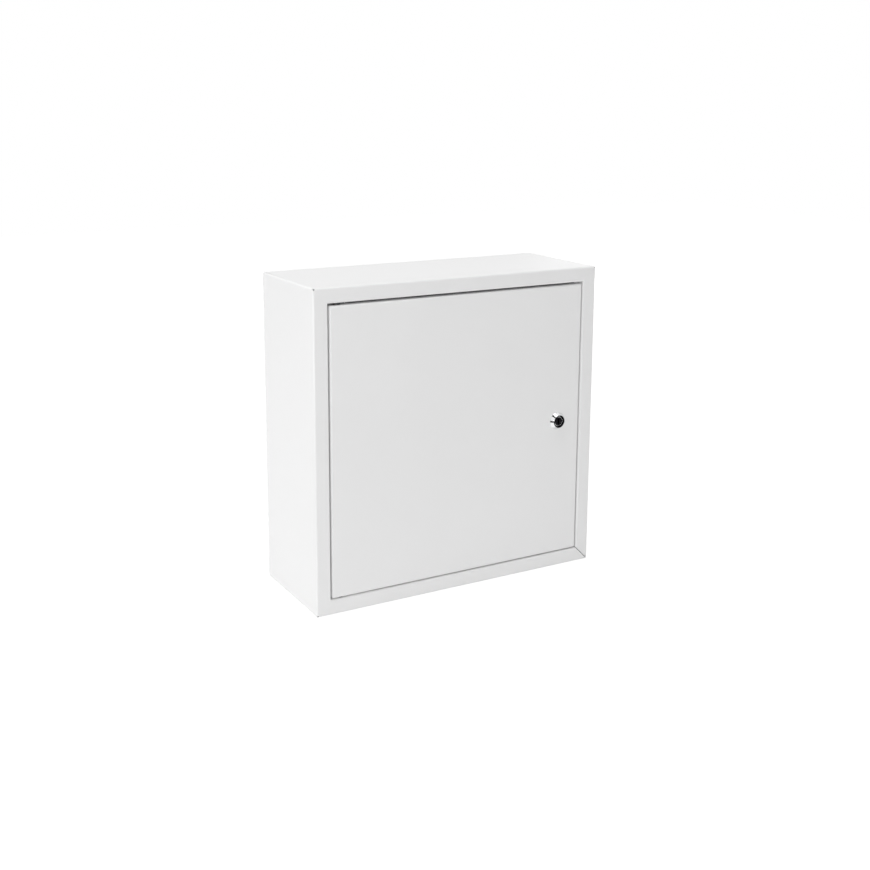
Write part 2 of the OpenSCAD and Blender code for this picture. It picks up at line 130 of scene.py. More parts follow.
class EnclosureSizes(bpy.types.PropertyGroup):
    sheet: length("Sheet", 1.5, "Thickness of the case and door sheet")
    paint_edge: length("Painted edge", 0.35, "Round that the paint leaves on a cut edge")
    plated_edge: length("Plated edge", 0.2, "Round on the edges of plated pieces")
    plate_pitch: length("Plate stud pitch", 1.25, "Thread pitch of the mounting plate's studs")
    entry_pitch: length("Cover stud pitch", 0.8, "Thread pitch of the cable cover's studs")
    earth_pitch: length("Earth stud pitch", 1.0, "Thread pitch of the earth studs")
    lock_pitch: length("Lock pitch", 1.0, "Thread pitch of the lock's barrel")
    lock_flats: length("Lock flats", 16.0, "Width of the lock's barrel across its flats")
    lock_face: length("Lock face", 16.5, "Diameter of the lock's face")
    lock_barrel: length("Lock barrel", 18.0, "Diameter of the lock's threaded barrel")
    plate_stud: length("Plate stud", 8.0, "Diameter of the mounting plate's studs")
    entry_stud: length("Cover stud", 5.0, "Diameter of the cable cover's studs")
    earth_stud: length("Earth stud", 6.0, "Diameter of the earth studs")
    seal_width: length("Seal width", 8.0, "Width of the door's foam strip")
    seal_corner: length("Seal corner", 6.0, "Radius of the foam strip's line at a corner")
    seal_edge: length("Seal edge", 0.6, "Round on the foam strip's edges")
    relief_inset: length("Relief inset", 1.25, "Distance of a relief hole's axis from the case's sides")
    relief_size: length("Relief hole", 2.0, "Diameter of the relief holes at the folded corners")
    weld_spacing: length("Weld spacing", 58.0, "Distance between spot welds on the rear flange", 5)
    weld_size: length("Weld size", 5.0, "Diameter of a spot weld")
    weld_rise: length("Weld rise", 0.2, "Height of a spot weld")
    earth_washer: length("Lock washer", 12.0, "Outer diameter of an earth lock washer")
    earth_hole: length("Lock washer hole", 6.2, "Inner diameter of an earth lock washer")
    earth_rise: length("Lock washer rise", 1.4, "Height of an earth lock washer over its teeth")
    earth_teeth: IntProperty(name="Teeth", description="Teeth of an earth lock washer", default=12, min=6, max=24)


class EnclosureStudio(bpy.types.PropertyGroup):
    azimuth: angle("Azimuth", -29.792, "Camera's direction round the enclosure, 0 in front")
    elevation: angle("Elevation", 11.067, "Camera's height above the horizon")
    roll: angle("Roll", 0.328, "Camera's turn about its own axis")
    distance: length("Distance", 1581.8, "From the aim point to the camera")
    aim: FloatVectorProperty(
        name="Aim", description="Point on the camera's axis", default=(0.0036, -0.075, 0.120),
        subtype="TRANSLATION", unit="LENGTH", size=3)
    lens: FloatProperty(name="Lens", description="Focal length in mm on a 36 mm sensor", default=51.06, min=10)
    shift: FloatProperty(name="Shift", description="Vertical shift of the lens", default=-0.12)
    sky: FloatProperty(
        name="Sky", description="Strength of the white room's light on the object", default=0.44, min=0)
    front: watts("Front lamp", 16, "at the front left")
    side: watts("Side lamp", 12, "at the left")
    top: watts("Top lamp", 25, "overhead")
    rear: watts("Rear lamp", 14, "behind at the right")


# ---------- Nodes ----------

MATH = "ShaderNodeMath"


def add(tree, kind, inputs=(), **settings):
    """Adds a node. Inputs, by index or name, are values, sockets, or nodes whose first output is meant."""
    node = tree.nodes.new(kind)
    for name, value in settings.items():
        setattr(node, name, value)
    pairs = inputs.items() if isinstance(inputs, dict) else enumerate(inputs)
    for key, value in pairs:
        if isinstance(value, bpy.types.Node):
            value = value.outputs[0]
        if isinstance(value, bpy.types.NodeSocket):
            tree.links.new(value, node.inputs[key])
        else:
            node.inputs[key].default_value = value
    return node


def material(name, base, metallic, roughness, ior=None, **others):
    """A material with its Principled shader, and the point on the piece that its patterns read."""
    made = bpy.data.materials.new(name)
    made.use_nodes = True
    tree = made.node_tree
    tree.nodes.clear()
    shader = add(tree, "ShaderNodeBsdfPrincipled", {
        "Base Color": (*base, 1), "Metallic": metallic, "Roughness": roughness, **others})
    if ior is not None:
        shader.inputs["IOR"].default_value = ior
    add(tree, "ShaderNodeOutputMaterial", {"Surface": shader})
    place = add(tree, "ShaderNodeTexCoord").outputs["Object"]
    return made, tree, shader, place


def noise(tree, place, size_mm, detail=2.0, roughness=0.5):
    """Noise whose features are about size_mm across."""
    return add(tree, "ShaderNodeTexNoise", {
        "Vector": place, "Scale": 1 / (size_mm * MM), "Detail": detail, "Roughness": roughness})


def shades(tree, value, dark, light, low=0.3, high=0.7):
    """Turns a value into a colour between two, or into a number between two."""
    if not isinstance(dark, tuple):
        return add(tree, "ShaderNodeMapRange", {
            "Value": value, "From Min": low, "From Max": high, "To Min": dark, "To Max": light})
    ramp = add(tree, "ShaderNodeValToRGB", {"Fac": value})
    ramp.color_ramp.elements[0].position = low
    ramp.color_ramp.elements[0].color = (*dark, 1)
    ramp.color_ramp.elements[1].position = high
    ramp.color_ramp.elements[1].color = (*light, 1)
    return ramp


def relief(tree, height, depth_mm, strength=1.0, over=None):
    """Bump of that depth, on top of another one if it is given."""
    inputs = {"Height": height, "Distance": depth_mm * MM, "Strength": strength}
    if over is not None:
        inputs["Normal"] = over
    return add(tree, "ShaderNodeBump", inputs)


def scaled(base, factor):
    return tuple(min(1.0, c * factor) for c in base)


# ---------- Materials ----------

def powder_coat(base):
    """Polyester powder, sprayed and baked on steel: an even satin skin with a faint orange peel."""
    made, tree, shader, place = material("powder_coated_steel", base, 0.0, 0.42, 1.5)
    # The coat's thickness drifts over about 70 mm, which moves the tone by half a percent
    drift = noise(tree, place, 70, 1.0)
    tree.links.new(shades(tree, drift, scaled(base, 0.992), base).outputs[0], shader.inputs["Base Color"])
    tree.links.new(shades(tree, drift, 0.40, 0.45).outputs[0], shader.inputs["Roughness"])
    # Orange peel is about 2 mm from crest to crest and a few microns deep; the grain on it is 0.4 mm
    peel = relief(tree, noise(tree, place, 2.2, 1.0), 0.006)
    tree.links.new(relief(tree, noise(tree, place, 0.4), 0.0012, over=peel).outputs[0], shader.inputs["Normal"])
    return made


def galvanised_sheet(base):
    """Hot-dipped zinc on rolled steel: grey crystals about 9 mm wide, each with its own tone and gloss."""
    made, tree, shader, place = material("galvanised_steel_sheet", base, 1.0, 0.42)
    bend = add(tree, "ShaderNodeVectorMath", {
        0: noise(tree, place, 7).outputs["Color"], "Scale": 3 * MM}, operation="SCALE")
    warped = add(tree, "ShaderNodeVectorMath", [place, bend], operation="ADD")
    crystals = add(tree, "ShaderNodeTexVoronoi", {"Vector": warped, "Scale": 1 / (9 * MM)})
    tone = add(tree, "ShaderNodeSeparateColor", [crystals.outputs["Color"]])
    tree.links.new(
        shades(tree, tone.outputs[0], scaled(base, 0.86), scaled(base, 1.08), 0.0, 1.0).outputs[0],
        shader.inputs["Base Color"])
    tree.links.new(shades(tree, tone.outputs[1], 0.34, 0.50, 0.0, 1.0).outputs[0], shader.inputs["Roughness"])
    # Rolling marks run up the sheet, 0.8 mm apart, coarser than the real ones so that they show
    lines = add(tree, "ShaderNodeMapping", {"Vector": place, "Scale": (1.0, 1.0, 0.02)})
    tree.links.new(relief(tree, noise(tree, lines, 0.8), 0.002).outputs[0], shader.inputs["Normal"])
    return made


def zinc_plate(base):
    """Bright zinc with a clear passivation, on turned and stamped steel: light, slightly blue and cloudy."""
    made, tree, shader, place = material("zinc_plated_steel", base, 1.0, 0.3)
    clouds = noise(tree, place, 5, 2.0)
    cool = (base[0] * 0.93, base[1] * 0.97, base[2] * 1.0)
    tree.links.new(shades(tree, clouds, cool, scaled(base, 1.05)).outputs[0], shader.inputs["Base Color"])
    tree.links.new(shades(tree, clouds, 0.24, 0.36).outputs[0], shader.inputs["Roughness"])
    tree.links.new(relief(tree, noise(tree, place, 0.35), 0.003).outputs[0], shader.inputs["Normal"])
    return made


def chrome_plate(base):
    """Chrome over a polished zinc casting: a near mirror with faint polishing waves."""
    made, tree, shader, place = material("chrome_plated_casting", base, 1.0, 0.07)
    waves = noise(tree, place, 1.6, 1.0)
    tree.links.new(shades(tree, waves, 0.05, 0.10).outputs[0], shader.inputs["Roughness"])
    tree.links.new(relief(tree, waves, 0.004).outputs[0], shader.inputs["Normal"])
    return made


def dark_reflection_plate(base):
    """Near-black glossy metal on a zinc casting: a painted dark reflection in place of the chrome face's own, a
    little worn to grey where a key rubs.
    """
    made, tree, shader, place = material("dark_reflection_casting", base, 1.0, 0.22)
    rub = noise(tree, place, 1.2, 3.0)
    tree.links.new(
        shades(tree, rub, base, tuple(c * 2.5 + 0.01 for c in base), 0.55, 0.75).outputs[0],
        shader.inputs["Base Color"])
    tree.links.new(shades(tree, rub, 0.18, 0.34).outputs[0], shader.inputs["Roughness"])
    tree.links.new(relief(tree, rub, 0.003).outputs[0], shader.inputs["Normal"])
    return made


def turned_brass(base):
    """Free-cutting brass from the lathe: fine feed rings 0.25 mm apart and a warm, slightly dull shine."""
    made, tree, shader, place = material("turned_brass", base, 1.0, 0.28)
    stain = noise(tree, place, 3, 2.0)
    tree.links.new(shades(tree, stain, scaled(base, 0.8), base).outputs[0], shader.inputs["Base Color"])
    rings = add(tree, "ShaderNodeTexWave", {
        "Vector": place, "Scale": 1 / (0.25 * MM) / 20, "Distortion": 0.4}, bands_direction="Z")
    tree.links.new(relief(tree, rings, 0.004).outputs[0], shader.inputs["Normal"])
    return made


def nylon(base):
    """Moulded black nylon: dark and faintly waxy, with a soft sheen and a fine mould grain."""
    made, tree, shader, place = material("moulded_nylon", base, 0.0, 0.38, 1.53, **{
        "Subsurface Weight": 0.15, "Subsurface Scale": 1.0 * MM})
    grain = noise(tree, place, 0.6)
    tree.links.new(shades(tree, grain, 0.33, 0.42).outputs[0], shader.inputs["Roughness"])
    tree.links.new(relief(tree, grain, 0.004).outputs[0], shader.inputs["Normal"])
    return made


def foam(base):
    """Closed-cell foam: dark and dull, with cells about 0.5 mm wide, drawn at 0.8 mm so that they show."""
    made, tree, shader, place = material("closed_cell_foam", base, 0.0, 0.85, 1.45, **{
        "Sheen Weight": 0.15, "Sheen Roughness": 0.5})
    cells = add(tree, "ShaderNodeTexVoronoi", {"Vector": place, "Scale": 1 / (0.8 * MM)})
    # The cells are painted darker in their hollow middles, where the bump sinks: painted shade in the cells
    tree.links.new(
        shades(tree, cells.outputs["Distance"], scaled(base, 0.6), scaled(base, 1.35), 0.05, 0.6).outputs[0],
        shader.inputs["Base Color"])
    tree.links.new(relief(tree, cells.outputs["Distance"], 0.08, 0.6).outputs[0], shader.inputs["Normal"])
    return made


def bare_steel(base):
    """Painted shade for the inside of the relief holes: a dull mid grey, mottled lighter and darker."""
    made, tree, shader, place = material("bare_steel_dusted", base, 0.0, 0.6, 1.5)
    dust = noise(tree, place, 0.5, 3.0)
    tree.links.new(shades(tree, dust, scaled(base, 0.5), scaled(base, 1.3)).outputs[0], shader.inputs["Base Color"])
    tree.links.new(relief(tree, dust, 0.01).outputs[0], shader.inputs["Normal"])
    return made


FINISHES = {}


def finishes():
    """All materials of the enclosure by a short name, made once."""
    if not FINISHES:
        c = bpy.context.scene.enclosure_colours
        FINISHES.update(
            paint=powder_coat(tuple(c.paint)), sheet=galvanised_sheet(tuple(c.galvanised)),
            zinc=zinc_plate(tuple(c.zinc)), chrome=chrome_plate(tuple(c.chrome)),
            black=dark_reflection_plate(tuple(c.painted_dark_reflection)), brass=turned_brass(tuple(c.brass)),
            nylon=nylon(tuple(c.nylon)), foam=foam(tuple(c.foam)), bare=bare_steel(tuple(c.bare)))
    return FINISHES


# ---------- Meshes ----------

def new_object(name, mesh):
    made = bpy.data.objects.new(name, mesh)
    bpy.context.scene.collection.objects.link(made)
    return made


def from_bmesh(name, bm):
    mesh = bpy.data.meshes.new(name)
    bm.to_mesh(mesh)
    bm.free()
    return new_object(name, mesh)


FLAT = math.radians(0.2)           # faces that meet at less than this are one flat face
SHARP_CORNER = math.radians(40)    # outer edges that turn by more than this get a round


def solid_of(node):
    """The CAD node's mesh as joined faces, without the lines that cross its flat faces."""
    bm = bmesh.new()
    bm.from_mesh(frame["nodes"][node].data)
    bmesh.ops.remove_doubles(bm, verts=bm.verts, dist=1e-6)
    bmesh.ops.dissolve_limit(bm, angle_limit=FLAT, verts=bm.verts, edges=bm.edges, delimit={"NORMAL"})
    return bm


def round_edges(bm, width, shortest):
    """Rounds the sharp outer edges that are at least as long as shortest."""
    chosen = [
        e for e in bm.edges
        if len(e.link_faces) == 2 and e.calc_length() >= shortest
        and e.calc_face_angle_signed(0.0) > SHARP_CORNER]
    if chosen:
        bmesh.ops.bevel(
            bm, geom=chosen, offset=width, segments=2, profile=0.5, affect="EDGES", clamp_overlap=False)


def smooth(obj, sharp=32):
    """Smooth shading that keeps sharp edges sharp and large faces flat."""
    for polygon in obj.data.polygons:
        polygon.use_smooth = True
    obj.data.set_sharp_from_angle(angle=math.radians(sharp))
    keep = obj.modifiers.new("Flat faces", "WEIGHTED_NORMAL")
    keep.keep_sharp = True
    keep.weight = 100
    keep.thresh = 0.001
    bake(obj)


def bake(obj):
    """Turns what obj's modifiers give into its plain mesh."""
    graph = bpy.context.evaluated_depsgraph_get()
    mesh = bpy.data.meshes.new_from_object(
        obj.evaluated_get(graph), preserve_all_data_layers=True, depsgraph=graph)
    obj.modifiers.clear()
    old = obj.data
    obj.data = mesh
    bpy.data.meshes.remove(old)


def joined(name, parts):
    """One object from several. The first one's materials come first."""
    made = parts[0]
    with bpy.context.temp_override(
            active_object=made, object=made, selected_objects=parts, selected_editable_objects=parts):
        bpy.ops.object.join()
    made.name = name
    made.data.name = name
    return made


def settle(obj, finish, node_or_body):
    """Gives obj its finish and its body, and hides the CAD node that it stands for, if any."""
    if finish is not None:
        obj.data.materials.clear()
        obj.data.materials.append(finishes()[finish])
    if node_or_body in frame["nodes"]:
        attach(obj, frame["nodes"][node_or_body].get("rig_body"))
        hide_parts(node_or_body)
    else:
        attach(obj, node_or_body)
    return obj


def dress(node, name, finish, edge, shortest=0.0):
    """A smoothly shaded copy of a CAD node in its finish, with rounds of size edge."""
    bm = solid_of(node)
    round_edges(bm, edge, shortest)
    obj = from_bmesh(name, bm)
    smooth(obj)
    return settle(obj, finish, node)


def lathe(name, profile, centre, count=96):
    """Turns a closed profile of (radius, y, material) points round the line along Y through centre."""
    bm = bmesh.new()
    rings = []
    for radius, y, _ in profile:
        rings.append([
            bm.verts.new((
                centre.x + radius * math.cos(math.tau * i / count), y,
                centre.z + radius * math.sin(math.tau * i / count)))
            for i in range(count)])
    for k, ring in enumerate(rings):
        following = rings[(k + 1) % len(rings)]
        for i in range(count):
            j = (i + 1) % count
            face = bm.faces.new((ring[i], ring[j], following[j], following[i]))
            face.material_index = profile[k][2]
    bmesh.ops.remove_doubles(bm, verts=bm.verts, dist=1e-7)
    bmesh.ops.recalc_face_normals(bm, faces=bm.faces)
    return from_bmesh(name, bm)


def eased(points, radius, steps=4):
    """A closed profile of (radius, y, material) points with its corners rounded."""
    made = []
    count = len(points)
    for k, (r, y, m) in enumerate(points):
        here = Vector((r, y))
        before = Vector(points[k - 1][:2]) - here
        after = Vector(points[(k + 1) % count][:2]) - here
        reach = min(radius, before.length * 0.45, after.length * 0.45)
        start, end = here + before.normalized() * reach, here + after.normalized() * reach
        for s in range(steps + 1):
            t = s / steps
            p = start * (1 - t) ** 2 + here * 2 * t * (1 - t) + end * t ** 2
            made.append((p.x, p.y, points[k - 1][2] if s < steps // 2 else m))
    return made


def path_object(name, points, closed=False):
    """A line through points, for a node tree to follow."""
    mesh = bpy.data.meshes.new(name)
    edges = [(i, i + 1) for i in range(len(points) - 1)]
    if closed:
        edges.append((len(points) - 1, 0))
    mesh.from_pydata([tuple(p) for p in points], edges, [])
    return new_object(name, mesh)


# ---------- Geometry node trees ----------

def new_tree(name, sockets):
    """A tree with a geometry in and out, and the named inputs."""
    tree = bpy.data.node_groups.new(name, "GeometryNodeTree")
    tree.interface.new_socket(name="Geometry", in_out="INPUT", socket_type="NodeSocketGeometry")
    tree.interface.new_socket(name="Geometry", in_out="OUTPUT", socket_type="NodeSocketGeometry")
    for label, kind, default in sockets:
        socket = tree.interface.new_socket(name=label, in_out="INPUT", socket_type="NodeSocket" + kind)
        if default is not None:
            socket.default_value = default
    return tree, add(tree, "NodeGroupInput").outputs


def close_tree(tree, geometry, finish):
    """Ends a tree with real geometry in its finish."""
    real = add(tree, "GeometryNodeRealizeInstances", [geometry])
    done = add(tree, "GeometryNodeSetMaterial", {"Geometry": real, "Material": finish})
    add(tree, "NodeGroupOutput", [done])


def run_tree(obj, tree, values):
    """Runs a tree on obj and keeps the result as its plain mesh."""
    modifier = obj.modifiers.new(tree.name, "NODES")
    modifier.node_group = tree
    for item in tree.interface.items_tree:
        if item.item_type == "SOCKET" and item.in_out == "INPUT" and item.name in values:
            modifier[item.identifier] = values[item.name]
    bake(obj)
    if not obj.data.polygons:
        raise RuntimeError(tree.name + " made no faces")
    return obj


def thread_tree():
    """Threaded rod or tube along +Z, standing on every point of the geometry that it is given."""
    tree, given = new_tree("Threaded rod", [
        ("Diameter", "Float", 0.008), ("Pitch", "Float", 0.00125), ("Length", "Float", 0.02),
        ("Bore", "Float", 0.0), ("Flats", "Float", 1.0), ("Tip", "Float", 0.0008),
        ("Rotation", "Vector", (0, 0, 0)), ("Sides", "Int", 28), ("Material", "Material", None)])
    per_turn, spare_turns, depth_share = 4.0, 2.0, 0.6
    turns = add(tree, MATH, [given["Length"], given["Pitch"]], operation="DIVIDE")
    spare = add(tree, MATH, [turns, spare_turns], operation="ADD")
    rows = add(tree, MATH, [spare, per_turn], operation="MULTIPLY")
    last = add(tree, MATH, [rows], operation="CEIL")
    row_count = add(tree, MATH, [last, 1.0], operation="ADD")
    side_count = add(tree, MATH, [given["Sides"], 1.0], operation="ADD")
    grid = add(tree, "GeometryNodeMeshGrid", {
        "Size X": 1.0, "Size Y": last, "Vertices X": side_count, "Vertices Y": row_count})
    spot = add(tree, "ShaderNodeSeparateXYZ", [add(tree, "GeometryNodeInputPosition")])
    round_share = add(tree, MATH, [spot.outputs["X"], 0.5], operation="ADD")
    half_rows = add(tree, MATH, [last, 0.5], operation="MULTIPLY")
    raw_row = add(tree, MATH, [spot.outputs["Y"], half_rows], operation="ADD")
    row = add(tree, MATH, [raw_row], operation="ROUND")
    # Height climbs by one pitch for every four rows, and by one pitch round the rod
    row_turn = add(tree, MATH, [row, per_turn], operation="DIVIDE")
    climb = add(tree, MATH, [row_turn, round_share], operation="ADD")
    lowered = add(tree, MATH, [climb, spare_turns], operation="SUBTRACT")
    raw_height = add(tree, MATH, [lowered, given["Pitch"]], operation="MULTIPLY")
    above = add(tree, MATH, [raw_height, 0.0], operation="MAXIMUM")
    height = add(tree, MATH, [above, given["Length"]], operation="MINIMUM")
    # Two rows of each four lie on the crest and two in the root
    crest = add(tree, MATH, [given["Diameter"], 0.5], operation="MULTIPLY")
    depth = add(tree, MATH, [given["Pitch"], depth_share], operation="MULTIPLY")
    phase = add(tree, MATH, [row, per_turn], operation="MODULO")
    on_crest = add(tree, MATH, [phase, 1.5], operation="GREATER_THAN")
    moved = add(tree, MATH, [height, raw_height], operation="SUBTRACT")
    off_end = add(tree, MATH, [add(tree, MATH, [moved], operation="ABSOLUTE"), 1e-7],
                  operation="LESS_THAN")
    full = add(tree, MATH, [on_crest, off_end], operation="MULTIPLY")
    sunk = add(tree, MATH, [1.0, full], operation="SUBTRACT")
    cut_in = add(tree, MATH, [sunk, depth], operation="MULTIPLY")
    profile = add(tree, MATH, [crest, cut_in], operation="SUBTRACT")
    # The end is chamfered at 45 degrees
    to_end = add(tree, MATH, [given["Length"], height], operation="SUBTRACT")
    tip_edge = add(tree, MATH, [crest, given["Tip"]], operation="SUBTRACT")
    chamfer = add(tree, MATH, [tip_edge, to_end], operation="ADD")
    outer = add(tree, MATH, [profile, chamfer], operation="MINIMUM")
    # The first and last rows close the ends at the bore
    inside = add(tree, MATH, [row, 0.5], operation="GREATER_THAN")
    last_edge = add(tree, MATH, [last, 0.5], operation="SUBTRACT")
    before_last = add(tree, MATH, [row, last_edge], operation="LESS_THAN")
    body = add(tree, MATH, [inside, before_last], operation="MULTIPLY")
    bore = add(tree, MATH, [given["Bore"], 0.5], operation="MULTIPLY")
    radius = add(tree, "ShaderNodeMix", {0: body, 2: bore, 3: outer}, data_type="FLOAT")
    turn = add(tree, MATH, [round_share, math.tau], operation="MULTIPLY")
    across = add(tree, MATH, [
        add(tree, MATH, [turn], operation="COSINE"), radius], operation="MULTIPLY")
    along = add(tree, MATH, [
        add(tree, MATH, [turn], operation="SINE"), radius], operation="MULTIPLY")
    half_flats = add(tree, MATH, [given["Flats"], 0.5], operation="MULTIPLY")
    minus_flats = add(tree, MATH, [half_flats, -1.0], operation="MULTIPLY")
    trimmed = add(tree, MATH, [
        add(tree, MATH, [across, half_flats], operation="MINIMUM"), minus_flats], operation="MAXIMUM")
    place = add(tree, "ShaderNodeCombineXYZ", [trimmed, along, height])
    skin = add(tree, "GeometryNodeSetPosition", {"Geometry": grid, "Position": place})
    # Inner wall, only where there is a bore
    tube = add(tree, "GeometryNodeMeshCylinder", {
        "Vertices": given["Sides"], "Radius": bore, "Depth": given["Length"]}, fill_type="NONE")
    half_length = add(tree, MATH, [given["Length"], 0.5], operation="MULTIPLY")
    lifted = add(tree, "GeometryNodeTransform", {
        "Geometry": tube, "Translation": add(tree, "ShaderNodeCombineXYZ", {"Z": half_length})})
    turned = add(tree, "GeometryNodeFlipFaces", [lifted])
    has_bore = add(tree, "FunctionNodeCompare", {0: bore, 1: 1e-5}, data_type="FLOAT", operation="GREATER_THAN")
    wall = add(tree, "GeometryNodeSwitch", {"Switch": has_bore, "True": turned}, input_type="GEOMETRY")
    both = add(tree, "GeometryNodeJoinGeometry", [skin])
    tree.links.new(wall.outputs[0], both.inputs[0])
    whole = add(tree, "GeometryNodeMergeByDistance", {"Geometry": both, "Distance": 1e-6})
    stand = add(tree, "GeometryNodeInstanceOnPoints", {
        "Points": given["Geometry"], "Instance": whole, "Rotation": given["Rotation"]})
    close_tree(tree, stand, given["Material"])
    return tree


def strip_tree():
    """Strip with rounded edges, laid along the line that it is given, with round corners."""
    tree, given = new_tree("Seal strip", [
        ("Width", "Float", 0.008), ("Thickness", "Float", 0.0017), ("Edge", "Float", 0.0006),
        ("Corner", "Float", 0.006), ("Rotation", "Vector", (0, 0, 0)), ("Offset", "Vector", (0, 0, 0)),
        ("Material", "Material", None)])
    line = add(tree, "GeometryNodeMeshToCurve", [given["Geometry"]])
    corners = add(tree, "GeometryNodeFilletCurve", {
        "Curve": line, "Radius": given["Corner"], "Count": 8, "Limit Radius": True}, mode="POLY")
    upright = add(tree, "GeometryNodeSetCurveNormal", {"Curve": corners}, mode="Z_UP")
    section = add(tree, "GeometryNodeCurvePrimitiveQuadrilateral", {
        "Width": given["Width"], "Height": given["Thickness"]})
    soft = add(tree, "GeometryNodeFilletCurve", {
        "Curve": section, "Radius": given["Edge"], "Count": 4, "Limit Radius": True}, mode="POLY")
    strip = add(tree, "GeometryNodeCurveToMesh", {"Curve": upright, "Profile Curve": soft, "Fill Caps": True})
    laid = add(tree, "GeometryNodeTransform", {
        "Geometry": strip, "Rotation": given["Rotation"], "Translation": given["Offset"]})
    close_tree(tree, laid, given["Material"])
    return tree


def weld_tree():
    """Low round spot welds along a line, facing the side that its tangent and the given axis make."""
    tree, given = new_tree("Spot welds", [
        ("Spacing", "Float", 0.06), ("Size", "Float", 0.005), ("Rise", "Float", 0.0002),
        ("Axis", "Vector", (0, 1, 0)), ("Material", "Material", None)])
    line = add(tree, "GeometryNodeMeshToCurve", [given["Geometry"]])
    spots = add(tree, "GeometryNodeCurveToPoints", {"Curve": line, "Length": given["Spacing"]}, mode="LENGTH")
    facing = add(tree, "ShaderNodeVectorMath", [spots.outputs["Tangent"], given["Axis"]], operation="CROSS_PRODUCT")
    aimed = add(tree, "FunctionNodeAlignRotationToVector", {"Vector": facing}, axis="Z")
    half = add(tree, MATH, [given["Size"], 0.5], operation="MULTIPLY")
    ball = add(tree, "GeometryNodeMeshUVSphere", {"Segments": 20, "Rings": 8, "Radius": half})
    low = add(tree, MATH, [given["Rise"], half], operation="DIVIDE")
    flat = add(tree, "GeometryNodeTransform", {
        "Geometry": ball, "Scale": add(tree, "ShaderNodeCombineXYZ", {"X": 1.0, "Y": 1.0, "Z": low})})
    placed = add(tree, "GeometryNodeInstanceOnPoints", {"Points": spots, "Instance": flat, "Rotation": aimed})
    close_tree(tree, placed, given["Material"])
    return tree


def tooth_tree():
    """Outward tooth lock washer along +Z: a ring with twisted teeth, on every point that it is given."""
    tree, given = new_tree("Tooth washer", [
        ("Inner", "Float", 0.0031), ("Outer", "Float", 0.006), ("Height", "Float", 0.0014),
        ("Teeth", "Int", 12), ("Rotation", "Vector", (0, 0, 0)), ("Material", "Material", None)])
    root_share, ring_height, tooth_height, tooth_width, twist = 0.74, 0.6, 0.62, 0.26, math.radians(17)
    root = add(tree, MATH, [given["Outer"], root_share], operation="MULTIPLY")
    rim = add(tree, MATH, [root, given["Inner"]], operation="ADD")
    middle = add(tree, MATH, [rim, 0.5], operation="MULTIPLY")
    width = add(tree, MATH, [root, given["Inner"]], operation="SUBTRACT")
    thick = add(tree, MATH, [given["Height"], ring_height], operation="MULTIPLY")
    round_line = add(tree, "GeometryNodeCurvePrimitiveCircle", {"Resolution": 48, "Radius": middle}, mode="RADIUS")
    section = add(tree, "GeometryNodeCurvePrimitiveQuadrilateral", {"Width": width, "Height": thick})
    upright = add(tree, "GeometryNodeSetCurveNormal", {"Curve": round_line}, mode="Z_UP")
    ring = add(tree, "GeometryNodeCurveToMesh", {"Curve": upright, "Profile Curve": section})
    # Each tooth is a small twisted block that reaches from the ring to the outer edge
    reach = add(tree, MATH, [given["Outer"], middle], operation="SUBTRACT")
    tall = add(tree, MATH, [given["Height"], tooth_height], operation="MULTIPLY")
    broad = add(tree, MATH, [given["Outer"], tooth_width], operation="MULTIPLY")
    block = add(tree, "GeometryNodeMeshCube", {
        "Size": add(tree, "ShaderNodeCombineXYZ", [reach, broad, tall]),
        "Vertices X": 3, "Vertices Y": 2, "Vertices Z": 2})
    half_reach = add(tree, MATH, [reach, 0.5], operation="MULTIPLY")
    away = add(tree, MATH, [middle, half_reach], operation="ADD")
    tilted = add(tree, "GeometryNodeTransform", {
        "Geometry": block, "Rotation": (twist, 0, 0),
        "Translation": add(tree, "ShaderNodeCombineXYZ", {"X": away})})
    seats = add(tree, "GeometryNodeMeshLine", {"Count": given["Teeth"], "Offset": (0, 0, 0)})
    index = add(tree, "GeometryNodeInputIndex")
    step = add(tree, MATH, [math.tau, given["Teeth"]], operation="DIVIDE")
    turn = add(tree, MATH, [index, step], operation="MULTIPLY")
    teeth = add(tree, "GeometryNodeInstanceOnPoints", {
        "Points": seats, "Instance": tilted, "Rotation": add(tree, "ShaderNodeCombineXYZ", {"Z": turn})})
    both = add(tree, "GeometryNodeJoinGeometry", [ring])
    tree.links.new(teeth.outputs[0], both.inputs[0])
    raised = add(tree, "GeometryNodeTransform", {
        "Geometry": both, "Translation": add(tree, "ShaderNodeCombineXYZ", {
            "Z": add(tree, MATH, [given["Height"], 0.5], operation="MULTIPLY")})})
    placed = add(tree, "GeometryNodeInstanceOnPoints", {
        "Points": given["Geometry"], "Instance": raised, "Rotation": given["Rotation"]})
    close_tree(tree, placed, given["Material"])
    return tree


TREES = {}


def tree_named(maker):
    """The tree that a function makes, made once."""
    if maker.__name__ not in TREES:
        TREES[maker.__name__] = maker()
    return TREES[maker.__name__]


# ---------- Pieces ----------

AWAY_FROM_WALL = (math.radians(90), 0, 0)      # +Z turned to -Y
TOWARDS_WALL = (math.radians(-90), 0, 0)       # +Z turned to +Y
TO_THE_RIGHT = (0, math.radians(90), 0)        # +Z turned to +X
UPWARDS = (0, 0, 0)


# Shorter edges than these go round a bend, a bore or a hole, and stay as they are
BEND_FACET, BORE_FACET, HOLE_FACET = 1.2 * MM, 1.5 * MM, 1.0 * MM
# Rounds on the cut edges of what is stamped, turned, cut from a small bar, or foamed
STAMPED, TURNED, SMALL, FOAMED = 0.3 * MM, 0.25 * MM, 0.2 * MM, 0.4 * MM
SCREW, PLUG = 0.15 * MM, 0.12 * MM


